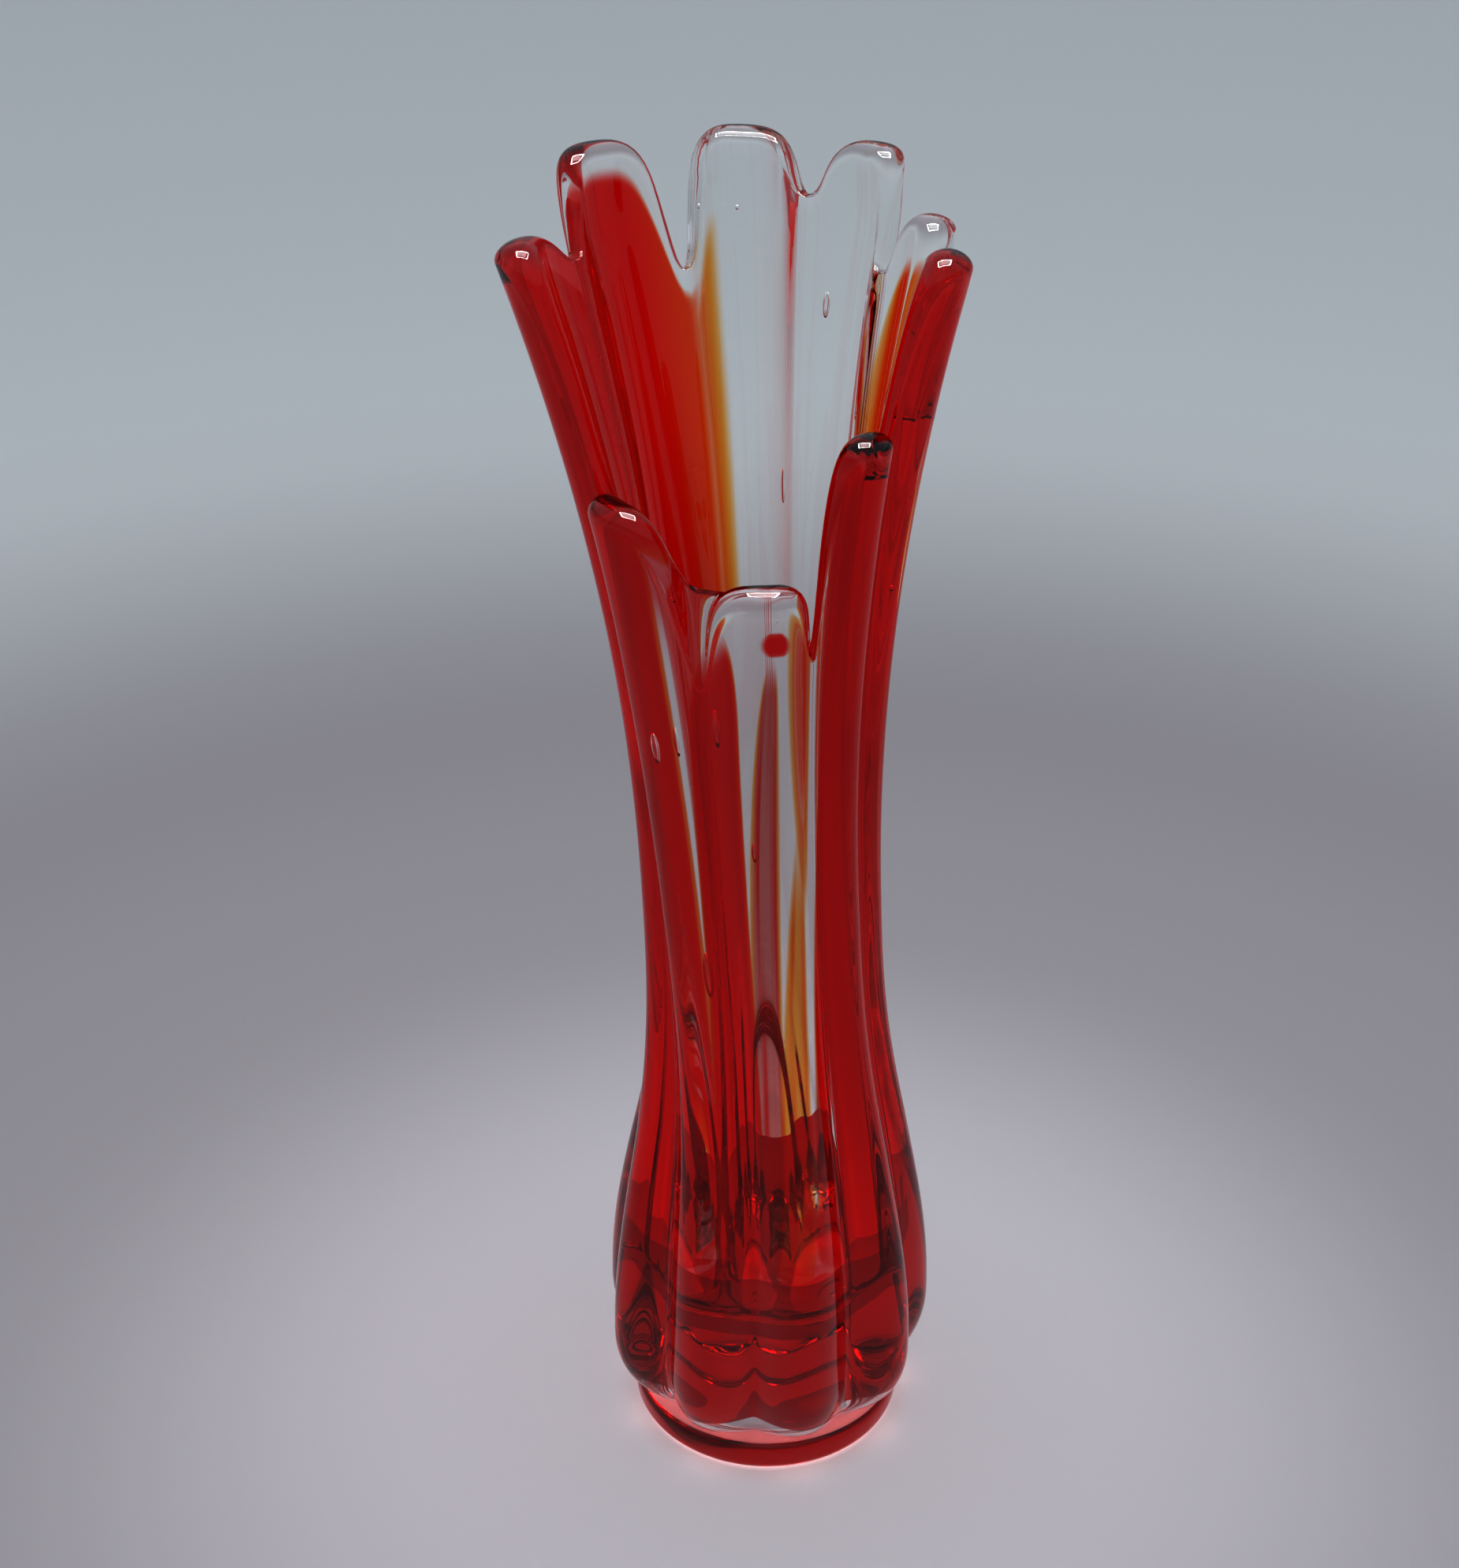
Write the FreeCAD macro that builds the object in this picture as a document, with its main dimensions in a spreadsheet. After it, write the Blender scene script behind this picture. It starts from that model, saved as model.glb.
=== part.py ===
"""Hand blown art glass vase: nine ribs that rise from a rounded heel, narrow to a waist and flare into nine fire-polished
fingers of uneven height, on an applied disc foot. Red and amber glass lies inside the clear wall.

Millimetres, +Z up. The origin is the centre of the foot's resting face, and the vase's front looks along -Y."""
import FreeCAD, Part
import math
import os
import Sketcher
from FreeCAD import Vector

# name, value, what it is. The sheet of the document holds these, and everything else is worked out from them.
SIZES = [
    ("foot_diameter", 71.0, "applied disc foot"),
    ("foot_thickness", 9.0, "applied disc foot"),
    ("foot_rounding", 3.2, "rounding of the foot's two edges"),
    ("scar_diameter", 15.0, "ring under the foot, where the pontil was broken off"),
    ("scar_width", 2.4, "that ring, across"),
    ("scar_depth", 0.7, "that ring, deep"),
    ("neck_radius", 29.0, "body where it is fused to the foot"),
    ("heel_radius", 43.2, "rib crests at their fullest"),
    ("heel_height", 30.0, "height of the fullest point"),
    ("waist_radius", 29.2, "rib crests at their narrowest"),
    ("waist_height", 160.0, "height of the waist"),
    ("mouth_radius", 50.6, "rib crests at mouth_height"),
    ("mouth_height", 310.0, "height at which the mouth is measured"),
    ("mouth_depth", 0.93, "the mouth from front to back, as a share of its width"),
    ("tallest_finger", 330.5, "top of the highest finger"),
    ("turn_height", 225.0, "height by which the ribs have drifted round to their places at the mouth"),
    ("lean_by", 9.2, "how far the mouth has drifted towards -X from the foot"),
    ("lean_start", 90.0, "height at which the drift starts"),
    ("heel_groove", 6.4, "depth of the grooves at the heel"),
    ("waist_groove", 3.6, "depth of the grooves at the waist"),
    ("mouth_groove", 9.0, "depth of the grooves at the mouth"),
    ("heel_wall", 9.6, "wall at the heel"),
    ("waist_wall", 6.2, "wall at the waist"),
    ("rim_wall", 6.8, "wall at the fingers, and twice the height of the rounded rim"),
    ("lip_wall", 7.4, "wall at the very tips, where the glass has drawn together"),
    ("floor_height", 38.0, "lowest point of the inside"),
    ("base_skin", 4.0, "outer gather between the first one and the foot"),
    ("pool_floor", 17.0, "lowest point of the red glass in the base"),
    ("pool_cover", 4.0, "clear glass between the inside and the red below it"),
]

# One entry for each rib, from the front one round towards +X.
RIB_BEARING_AT_FOOT = [14, 54, 94, 134, 174, 214, 254, 294, 334]
RIB_BEARING_AT_MOUTH = [8, 45, 78, 110, 136, 177, 219, 267, 304]
FINGER_DROP = [81.0, 49.0, 14.5, 13.0, 1.0, 0.0, 1.5, 16.0, 66.5]
# The notch that follows each finger, below the top of the highest finger.
NOTCH_DROP = [98.0, 57.5, 49.5, 24.0, 10.5, 27.5, 20.5, 68.5, 105.0]
# How much higher each notch's inner edge stands than its outer one.
NOTCH_LIFT = [0, 0, 0, 0, 0, 0, 0, 0, 24]
NOTCH_ROUNDING = 0.33
NOTCH_BEAD = 0.15

RIBS = len(FINGER_DROP)
POLES_PER_RIB = 12
WALL_ROWS = 26
FLOOR_ROWS = 6
FEWEST_COLUMNS = 10
FIELD_ROWS = 22
HEEL_CROWDING = 1.6
FLOOR_RISE = 0.16
FLAT_FLOOR = 0.2
GROOVE_ROUNDING = 0.3
MOUTH_SMOOTHING = 0.5
GROOVE_WALL = 0.8
LIP_CROWDING = 60
QUARTER_ARC = 0.5523
STEP = 1e-3

# Depth in the wall runs from 0 at the outer skin to 1 at the inner one, and rise from 0 at the foot to 1 at the rim.
GATHER_DEPTH = 0.22
GATHER_FLOOR_RISE = 0.075
POOL_DEPTHS = (0.34, 0.68)
POOL_FLOOR_RISE = 0.085
POOL_RISE = 0.19

# Coloured glass in the first gather: name, the ribs it runs between at its foot and at its top, the rises and the depths
# it lies between, and how much of its length its foot and its top are drawn out over.
FIELDS = [
    ("ruby_field_left", (6.52, 7.92), (6.52, 8.08), (0.205, 0.985), (0.36, 0.66), 0.05, 0.04),
    ("ruby_field_back", (5.46, 6.46), (5.48, 6.36), (0.205, 0.98), (0.36, 0.66), 0.05, 0.04),
    ("ruby_field_right", (0.12, 2.46), (0.70, 2.40), (0.205, 0.985), (0.36, 0.66), 0.05, 0.04),
    ("ruby_stripe_front", (-0.88, -0.37), (-0.56, -0.22), (0.205, 0.965), (0.36, 0.66), 0.06, 0.20),
    ("pink_stripe_front", (-0.33, -0.21), (-0.10, 0.12), (0.215, 0.90), (0.36, 0.62), 0.20, 0.45),
    ("amber_stripe_front", (-0.17, 0.07), (0.22, 0.40), (0.205, 0.70), (0.36, 0.62), 0.10, 0.60),
    ("amber_band_back", (5.16, 5.42), (5.18, 5.44), (0.205, 0.955), (0.36, 0.66), 0.10, 0.04),
    ("amber_flame_right", (2.80, 3.36), (2.72, 3.44), (0.40, 0.965), (0.36, 0.66), 0.45, 0.35),
    ("red_bead", (0.01, 0.28), (0.03, 0.26), (0.918, 0.955), (0.36, 0.66), 0.50, 0.50),
]

doc = FreeCAD.newDocument("vase")
sheet = doc.addObject("Spreadsheet::Sheet", "sizes")
for row, (name, value, note) in enumerate(SIZES, 1):
    sheet.set(f"A{row}", name)
    sheet.set(f"B{row}", str(value))
    sheet.set(f"C{row}", note)
    sheet.setAlias(f"B{row}", name)
doc.recompute()


def size(name):
    return float(getattr(sheet, name))


def mix(a, b, share):
    return a + (b - a) * share


def clamp(value):
    return max(0.0, min(1.0, value))


def ease(value):
    value = clamp(value)
    return value * value * (3 - 2 * value)


# ---- the shape of the blown wall -------------------------------------------------------------------------------------


def bearing(bearings, rib):
    """Bearing of rib, a whole number on a crest and a half on a groove, by a smooth curve through the crests."""
    low = math.floor(rib)
    share = rib - low
    a, b, c, d = (bearings[i % RIBS] + 360.0 * (i // RIBS) for i in range(low - 1, low + 3))
    bow = 2 * a - 5 * b + 4 * c - d
    twist = 3 * b - a - 3 * c + d
    return 0.5 * (2 * b + (c - a) * share + bow * share**2 + twist * share**3)


def swell(rib, rounding):
    """1 on a crest and 0 in a groove, with the groove rounded."""
    full, here = math.hypot(1, rounding), math.hypot(math.cos(math.pi * rib), rounding)
    return (here - rounding) / (full - rounding)


def rim_height(rib):
    """Height of the wall's end, where the rounded rim starts."""
    finger = FINGER_DROP[round(rib) % RIBS]
    notch = NOTCH_DROP[math.floor(rib) % RIBS]
    drop = mix(notch, finger, finger_shape(rib))
    return size("tallest_finger") - drop - size("rim_wall") / 2


def finger_shape(rib):
    """1 at a fingertip and 0 in a notch: a broad arch with a narrow rounded notch on each side."""
    arch = swell(rib, NOTCH_ROUNDING)
    return math.sin(0.5 * math.pi * mix(arch, math.sin(0.5 * math.pi * arch), 0.5))


def height_at(rib, rise):
    """Rows are level at the foot and follow the fingers at the rim."""
    foot = size("foot_thickness")
    middle = size("tallest_finger") - sum(FINGER_DROP + NOTCH_DROP) / (2 * RIBS)
    return foot + (middle - foot) * rise + (rim_height(rib) - middle) * rise**3


def along_body(height, heel, waist, mouth):
    fall = clamp((height - size("heel_height")) / (size("waist_height") - size("heel_height")))
    heel_share = (0.5 + 0.5 * math.cos(math.pi * fall)) ** 1.5
    return waist + (heel - waist) * heel_share + (mouth - waist) * flare(height)


def flare(height):
    """0 at the waist, 1 at the mouth's height, and little more above it."""
    climb = max(0.0, (height - size("waist_height")) / (size("mouth_height") - size("waist_height")))
    return climb**2 if climb < 1 else 1 + 0.1 * (1 - math.exp(20 * (1 - climb)))


def heel_bulge(height):
    """0 where the body meets the foot, 1 at the heel's fullest point."""
    rise = clamp((height - size("foot_thickness")) / (size("heel_height") - size("foot_thickness")))
    return math.sqrt(1 - (1 - rise) ** 2)


def crest_radius(height):
    return along_body(height, size("heel_radius"), size("waist_radius"), size("mouth_radius"))


def groove_depth(height):
    return along_body(height, size("heel_groove"), size("waist_groove"), size("mouth_groove"))


def wall_thickness(height):
    return along_body(height, size("heel_wall"), size("waist_wall"), size("rim_wall"))


def centre_x(height):
    drift = max(0.0, height - size("lean_start")) / (size("mouth_height") - size("lean_start"))
    return -size("lean_by") * drift**1.2


def outside(rib, rise, lift=0.0):
    """Point of the outer skin, or of its continuation lift above the rim."""
    height = height_at(rib, rise) + lift * rise**4
    turn = ease((height - size("floor_height")) / (size("turn_height") - size("floor_height")))
    angle = math.radians(mix(bearing(RIB_BEARING_AT_FOOT, rib), bearing(RIB_BEARING_AT_MOUTH, rib), turn))
    sunk = groove_depth(height) * (1 - swell(rib, GROOVE_ROUNDING))
    radius = mix(size("neck_radius"), crest_radius(height) - sunk, heel_bulge(height))
    oval = mix(1.0, size("mouth_depth"), flare(height))
    return Vector(centre_x(height) + radius * math.sin(angle), -radius * oval * math.cos(angle), height)


def inside(rib, rise):
    """Point of the inner skin: nearly square to the outer one at the fingers, and rounder than it lower down."""
    lift = NOTCH_LIFT[math.floor(rib) % RIBS] * (1 - finger_shape(rib))
    skin = outside(rib, rise, lift)
    across = outside(rib + STEP, rise, lift) - outside(rib - STEP, rise, lift)
    upward = outside(rib, rise + STEP, lift) - outside(rib, rise - STEP, lift)
    inward = upward.cross(across).normalize()
    crest = swell(rib, GROOVE_ROUNDING)
    lip = (size("lip_wall") - size("rim_wall")) * rise**LIP_CROWDING * crest
    thickness = wall_thickness(skin.z) * mix(GROOVE_WALL, 1.0, crest) + lip
    square = skin + inward * thickness
    axis = Vector(centre_x(skin.z), 0, skin.z)
    outward = Vector(skin.x - axis.x, skin.y, 0).normalize()
    smoothed = crest_radius(skin.z) - 0.62 * groove_depth(skin.z) - thickness
    rounded = axis + Vector(outward.x, outward.y * mix(1.0, size("mouth_depth"), flare(skin.z)), 0) * smoothed
    rounded.z = square.z
    return square + (rounded - square) * mix(0.6, MOUTH_SMOOTHING, ease(flare(skin.z) / 0.5))


def wall(rib, rise, depth):
    skin = outside(rib, rise)
    return skin + (inside(rib, rise) - skin) * depth


# ---- faces -----------------------------------------------------------------------------------------------------------


def knots(poles, degree, closed):
    """Knot multiplicities of an evenly spaced curve."""
    if closed:
        return [1] * (poles + 1)
    return [degree + 1] + [1] * (poles - degree - 1) + [degree + 1]


def face(rows, closed, along=None):
    """A smooth face over rows of poles, which are closed rings or open lines. along gives uneven knots up the rows."""
    degree = min(3, len(rows) - 1)
    columns = [list(column) for column in zip(*rows)]
    around = knots(len(columns), 3, closed)
    up = along or knots(len(rows), degree, False)
    surface = Part.BSplineSurface()
    places = [[float(i) for i in range(len(counts))] for counts in (around, up)]
    surface.buildFromPolesMultsKnots(columns, around, up, places[0], places[1], closed, False, 3, degree)
    return surface.toShape()


def level_face(ring):
    """The flat face inside a level ring of poles."""
    curve = Part.BSplineCurve()
    counts = knots(len(ring), 3, True)
    curve.buildFromPolesMultsKnots(ring, counts, [float(i) for i in range(len(counts))], True, 3)
    return Part.Face(Part.Wire(curve.toShape()))


def closed_shell(faces):
    """The shell of some faces, facing outwards."""
    sewn = Part.makeCompound(faces)
    sewn.sewShape()
    return Part.Solid(sewn.Shells[0]).Shells[0]


def ring(point):
    return [point(i / POLES_PER_RIB) for i in range(RIBS * POLES_PER_RIB)]


def wall_rows(depth, low, high, count, crowding=1.0):
    def row(j):
        rise = low + (high - low) * (j / count) ** crowding
        return ring(lambda rib: wall(rib, rise, depth))

    return [row(j) for j in range(count + 1)]


def cup_rows(depth, floor, top, floor_rise=FLOOR_RISE):
    """A layer of the body: its rounded floor, which meets the wall at floor_rise, and the wall up to top."""
    def row(j):
        swing = 0.5 * math.pi * j / FLOOR_ROWS

        def point(rib):
            start = wall(rib, floor_rise, depth)
            spread = mix(FLAT_FLOOR, 1.0, math.sin(swing))
            return Vector(start.x * spread, start.y * spread, mix(start.z, floor, math.cos(swing)))

        return ring(point)

    climb = max(4, round(WALL_ROWS * (top - floor_rise)))
    return [row(j) for j in range(FLOOR_ROWS)] + wall_rows(depth, floor_rise, top, climb)


def rim_rows():
    """Half a round bead over the rim, from the outer skin over the top to the inner one."""
    def middle(rib):
        return (outside(rib, 1.0) + inside(rib, 1.0)) * 0.5

    def row(side, up):
        def point(rib):
            half = outside(rib, 1.0) - middle(rib)
            along = middle(rib + STEP) - middle(rib - STEP)
            over = along.cross(half).normalize() * (mix(NOTCH_BEAD, 1, finger_shape(rib)) * size("rim_wall") / 2)
            return middle(rib) + half * side - over * up

        return ring(point)

    arc = [(1, 0), (1, QUARTER_ARC), (QUARTER_ARC, 1), (0, 1), (-QUARTER_ARC, 1), (-1, QUARTER_ARC), (-1, 0)]
    return [row(side, up) for side, up in arc]


# ---- solids ----------------------------------------------------------------------------------------------------------


def gather_faces():
    """The first gather: the faces it shares with the outer one, and the inside of the vase."""
    floor = size("floor_height")
    within = cup_rows(1.0, floor, 1.0)
    without = cup_rows(GATHER_DEPTH, size("foot_thickness") + size("base_skin"), 1.0, GATHER_FLOOR_RISE)
    shared = [face(without, True), level_face(without[0]), face([without[-1], within[-1]], True)]
    return shared, [face(within, True), level_face(within[0])]


def pool_shell():
    """The red glass in the base, drawn a little way up the wall."""
    upper = cup_rows(POOL_DEPTHS[1], size("floor_height") - size("pool_cover"), POOL_RISE)
    lower = cup_rows(POOL_DEPTHS[0], size("pool_floor"), POOL_RISE, POOL_FLOOR_RISE)
    faces = [face(upper, True), level_face(upper[0]), face(lower, True), level_face(lower[0])]
    return closed_shell(faces + [face([upper[-1], lower[-1]], True)])


def field_shell(at_foot, at_top, rises, depths, foot_point, top_point):
    """A strip of coloured glass in the wall, narrowed at both ends."""
    columns = max(FEWEST_COLUMNS, round(POLES_PER_RIB * (at_foot[1] - at_foot[0])))

    def width(share):
        foot = clamp(share / foot_point)
        top = clamp((1 - share) / top_point)
        return mix(0.18, 1.0, math.sqrt(1 - (1 - foot) ** 2) * math.sqrt(1 - (1 - top) ** 2))

    def row(share, depth):
        left, right = (mix(a, b, share) for a, b in zip(at_foot, at_top))
        middle, half = 0.5 * (left + right), 0.5 * (right - left) * width(share)
        rise = mix(rises[0], rises[1], share)
        return [
            wall(middle + half * (2 * i / columns - 1), rise, depth)
            for i in range(columns + 1)
        ]

    shares = [0.5 - 0.5 * math.cos(math.pi * j / FIELD_ROWS) for j in range(FIELD_ROWS + 1)]
    outer, inner = ([row(share, depth) for share in shares] for depth in depths)
    pairs = [(outer[0], inner[0]), (outer[-1], inner[-1])]
    pairs += [([row[i] for row in outer], [row[i] for row in inner]) for i in (0, -1)]
    return closed_shell([face(outer, False), face(inner, False)] + [face([a, b], False) for a, b in pairs])


def add_glass(label, shells):
    """A piece of glass: its outer shell, and the shells of what is sealed inside it."""
    glass = doc.addObject("Part::Feature", label)
    glass.Label = label
    if len(shells) > 1:
        hollows = [shell.reversed() for shell in shells[1:]]
        glass.Shape = Part.makeSolid(Part.makeCompound([shells[0]] + hollows))
    else:
        glass.Shape = Part.Solid(shells[0])
    return glass


def add_foot():
    """The disc foot, turned about its axis, with the pontil's ring under it."""
    body = doc.addObject("PartDesign::Body", "foot_disc")
    body.Label = "foot_disc"
    profile = body.newObject("Sketcher::SketchObject", "foot_profile")
    profile.AttachmentSupport = [(next(o for o in body.Origin.OriginFeatures if o.Role == "XZ_Plane"), "")]
    profile.MapMode = "FlatFace"
    scar = (size("scar_diameter") - size("scar_width")) / 2
    corners = [
        (0, 0),
        (scar, 0),
        (scar + size("scar_width") / 2, size("scar_depth")),
        (scar + size("scar_width"), 0),
        (size("foot_diameter") / 2, 0),
        (size("foot_diameter") / 2, size("foot_thickness")),
        (0, size("foot_thickness")),
    ]
    for start, end in zip(corners, corners[1:] + corners[:1]):
        profile.addGeometry(Part.LineSegment(Vector(start[0], start[1], 0), Vector(end[0], end[1], 0)), False)
    count = len(corners)
    for i in range(count):
        profile.addConstraint(Sketcher.Constraint("Coincident", i, 2, (i + 1) % count, 1))
    profile.addConstraint(Sketcher.Constraint("Coincident", 0, 1, -1, 1))
    for i in (0, 3, 5):
        profile.addConstraint(Sketcher.Constraint("Horizontal", i))
    for i in (4, 6):
        profile.addConstraint(Sketcher.Constraint("Vertical", i))
    profile.addConstraint(Sketcher.Constraint("PointOnObject", 2, 2, -1))
    distances = [
        ("DistanceX", 1, 1, "sizes.scar_diameter / 2 - sizes.scar_width / 2"),
        ("DistanceX", 2, 1, "sizes.scar_diameter / 2"),
        ("DistanceX", 3, 1, "sizes.scar_diameter / 2 + sizes.scar_width / 2"),
        ("DistanceX", 4, 1, "sizes.foot_diameter / 2"),
        ("DistanceY", 2, 1, "sizes.scar_depth"),
        ("DistanceY", 5, 1, "sizes.foot_thickness"),
    ]
    for kind, line, end, formula in distances:
        corner = corners[line]
        value = corner[0] if kind == "DistanceX" else corner[1]
        place = profile.addConstraint(Sketcher.Constraint(kind, -1, 1, line, end, value))
        profile.setExpression(f"Constraints[{place}]", formula)
    disc = body.newObject("PartDesign::Revolution", "foot_turning")
    disc.Profile = profile
    disc.ReferenceAxis = (profile, ["V_Axis"])
    disc.Angle = 360
    doc.recompute()
    edges = []
    for i, edge in enumerate(disc.Shape.Edges, 1):
        if hasattr(edge.Curve, "Radius") and abs(edge.Curve.Radius - size("foot_diameter") / 2) < 0.01:
            edges.append(f"Edge{i}")
    rounding = body.newObject("PartDesign::Fillet", "foot_rounding")
    rounding.Base = (disc, edges)
    rounding.setExpression("Radius", "sizes.foot_rounding")
    doc.recompute()
    return body


def build():
    shared, inner = gather_faces()
    fields = {name: field_shell(*shape) for name, *shape in FIELDS}
    fields["ruby_pool"] = pool_shell()
    outer = wall_rows(0.0, 0.0, 1.0, WALL_ROWS, HEEL_CROWDING)
    skins = [level_face(outer[0]), face(outer, True), face(rim_rows(), True, [4, 3, 4])]
    parts = [
        add_foot(),
        add_glass("clear_casing", [closed_shell(skins + shared)]),
        add_glass("clear_gather", [closed_shell(shared + inner)] + list(fields.values())),
    ]
    for name, shell in fields.items():
        parts.append(add_glass(name, [shell]))
    return parts


pieces = build()
doc.recompute()
for piece in pieces:
    bad = [state for state in piece.State if state in ("Invalid", "Error")]
    if bad or piece.Shape.isNull() or not piece.Shape.isValid():
        raise RuntimeError(f"{piece.Label} did not come out as a valid solid")
os.makedirs("parts", exist_ok=True)
for piece in pieces:
    piece.Shape.exportStep(f"parts/{piece.Label}.step")
    print(piece.Label, round(piece.Shape.Volume), "mm3", len(piece.Shape.Solids), "solid")
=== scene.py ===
"""Hand blown art glass vase: ribbed clear glass with red and amber glass sealed in its wall, on a disc foot.

Metres, +Z up. The origin is the centre of the foot's resting face, and the vase's front looks along -Y."""

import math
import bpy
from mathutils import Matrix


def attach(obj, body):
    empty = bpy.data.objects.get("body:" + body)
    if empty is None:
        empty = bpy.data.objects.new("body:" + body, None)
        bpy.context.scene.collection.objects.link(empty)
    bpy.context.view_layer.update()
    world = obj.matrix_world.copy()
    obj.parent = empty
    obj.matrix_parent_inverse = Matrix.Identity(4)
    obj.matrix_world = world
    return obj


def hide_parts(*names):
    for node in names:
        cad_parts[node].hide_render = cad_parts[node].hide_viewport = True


bl_info = {
    "name": "Art Glass Vase",
    "version": (1, 0, 0),
    "blender": (4, 5, 0),
    "location": "View3D > Sidebar > Vase",
    "description": "A ribbed, cased glass vase with a fingered rim, and a plain studio stage for it",
    "category": "Object",
}

from collections import namedtuple

import bpy
import numpy as np
from bpy.props import FloatProperty, FloatVectorProperty, PointerProperty

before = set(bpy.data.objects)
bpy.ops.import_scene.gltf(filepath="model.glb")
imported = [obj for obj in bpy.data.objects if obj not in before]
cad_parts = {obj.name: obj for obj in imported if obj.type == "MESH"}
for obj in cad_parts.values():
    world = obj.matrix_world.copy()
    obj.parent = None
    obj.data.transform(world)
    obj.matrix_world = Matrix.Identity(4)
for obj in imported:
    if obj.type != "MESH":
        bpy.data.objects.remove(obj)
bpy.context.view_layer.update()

# One entry for each rib, from the front one round towards +X. Bearings are in degrees from the front. A
# notch follows its rib, and its lift raises the inner skin there over the outer one.
RIB_BEARING_AT_FOOT = np.array([14, 54, 94, 134, 174, 214, 254, 294, 334.0])
RIB_BEARING_AT_MOUTH = np.array([8, 45, 78, 110, 136, 177, 219, 267, 304.0])
FINGER_DROP = np.array([81.0, 49.0, 14.5, 13.0, 1.0, 0.0, 1.5, 16.0, 66.5]) / 1000
NOTCH_DROP = np.array([98.0, 57.5, 49.5, 24.0, 10.5, 27.5, 20.5, 68.5, 105.0]) / 1000
NOTCH_LIFT = np.array([0, 0, 0, 0, 0, 0, 0, 0, 24.0]) / 1000
NOTCH_ROUNDING = 0.33
NOTCH_BEAD = 0.15
LIFT_BEND = 4
RIM_BEND = 3
GROOVE_WALL = 0.8
GROOVE_ROUNDING = 0.3
HEEL_BEND = 1.5
LEAN_BEND = 1.2
FLARE_OVERRUN = 0.1
FLARE_SETTLING = 20
# How far the inside is rounder than the outside: in the body, at the mouth, and the flare at which it is
# the mouth's.
BODY_SMOOTHING = 0.6
MOUTH_SMOOTHING = 0.5
SMOOTHING_FLARE = 0.5
ROUND_AT_GROOVE = 0.62
LIP_CROWDING = 60
FLAT_FLOOR = 0.01
RIBS = 9
STEP = 1e-3


def mix(a, b, share):
    return a + (b - a) * share


def ease(value):
    value = np.clip(value, 0, 1)
    return value * value * (3 - 2 * value)


class VaseShape(bpy.types.PropertyGroup):
    """The vase's sizes"""

    foot_diameter: FloatProperty(
        name="Foot", description="Diameter of the disc foot", default=0.071, unit="LENGTH"
    )
    foot_thickness: FloatProperty(
        name="Foot thickness", description="Thickness of the foot", default=0.009, unit="LENGTH"
    )
    foot_rounding: FloatProperty(
        name="Foot edge", description="Rounding of the foot's edge", default=0.0032, unit="LENGTH"
    )
    neck_radius: FloatProperty(
        name="Neck", description="Radius where body and foot are fused", default=0.029, unit="LENGTH"
    )
    heel_radius: FloatProperty(
        name="Heel", description="Rib crests at their fullest", default=0.0432, unit="LENGTH"
    )
    heel_height: FloatProperty(
        name="Heel height", description="Height of the heel", default=0.030, unit="LENGTH"
    )
    waist_radius: FloatProperty(
        name="Waist", description="Rib crests at their narrowest", default=0.0292, unit="LENGTH"
    )
    waist_height: FloatProperty(
        name="Waist height", description="Height of the waist", default=0.160, unit="LENGTH"
    )
    mouth_radius: FloatProperty(
        name="Mouth", description="Rib crests at the mouth", default=0.0506, unit="LENGTH"
    )
    mouth_height: FloatProperty(
        name="Mouth height", description="Where the mouth is measured", default=0.310, unit="LENGTH"
    )
    mouth_depth: FloatProperty(
        name="Mouth depth", description="Front to back, over its width", default=0.93, min=0.5, max=1.5
    )
    tallest_finger: FloatProperty(
        name="Height", description="Top of the highest finger", default=0.3305, unit="LENGTH"
    )
    turn_height: FloatProperty(
        name="Turn", description="Where the ribs reach their mouth bearings", default=0.2250, unit="LENGTH"
    )
    lean_by: FloatProperty(
        name="Lean", description="Sideways drift of the mouth", default=0.0092, unit="LENGTH"
    )
    lean_start: FloatProperty(
        name="Lean start", description="Where the drift starts", default=0.090, unit="LENGTH"
    )
    heel_groove: FloatProperty(
        name="Heel grooves", description="Depth of the grooves at the heel", default=0.0064, unit="LENGTH"
    )
    waist_groove: FloatProperty(
        name="Waist grooves", description="Depth at the waist", default=0.0036, unit="LENGTH"
    )
    mouth_groove: FloatProperty(
        name="Mouth grooves", description="Depth at the mouth", default=0.0090, unit="LENGTH"
    )
    heel_wall: FloatProperty(
        name="Heel wall", description="Wall at the heel", default=0.0096, unit="LENGTH"
    )
    waist_wall: FloatProperty(
        name="Waist wall", description="Wall at the waist", default=0.0062, unit="LENGTH"
    )
    rim_wall: FloatProperty(
        name="Rim wall", description="Wall at the fingers", default=0.0068, unit="LENGTH"
    )
    lip_wall: FloatProperty(
        name="Lip", description="Wall at the very tips", default=0.0074, unit="LENGTH"
    )
    floor_height: FloatProperty(
        name="Floor", description="Lowest point of the inside", default=0.038, unit="LENGTH"
    )


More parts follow.
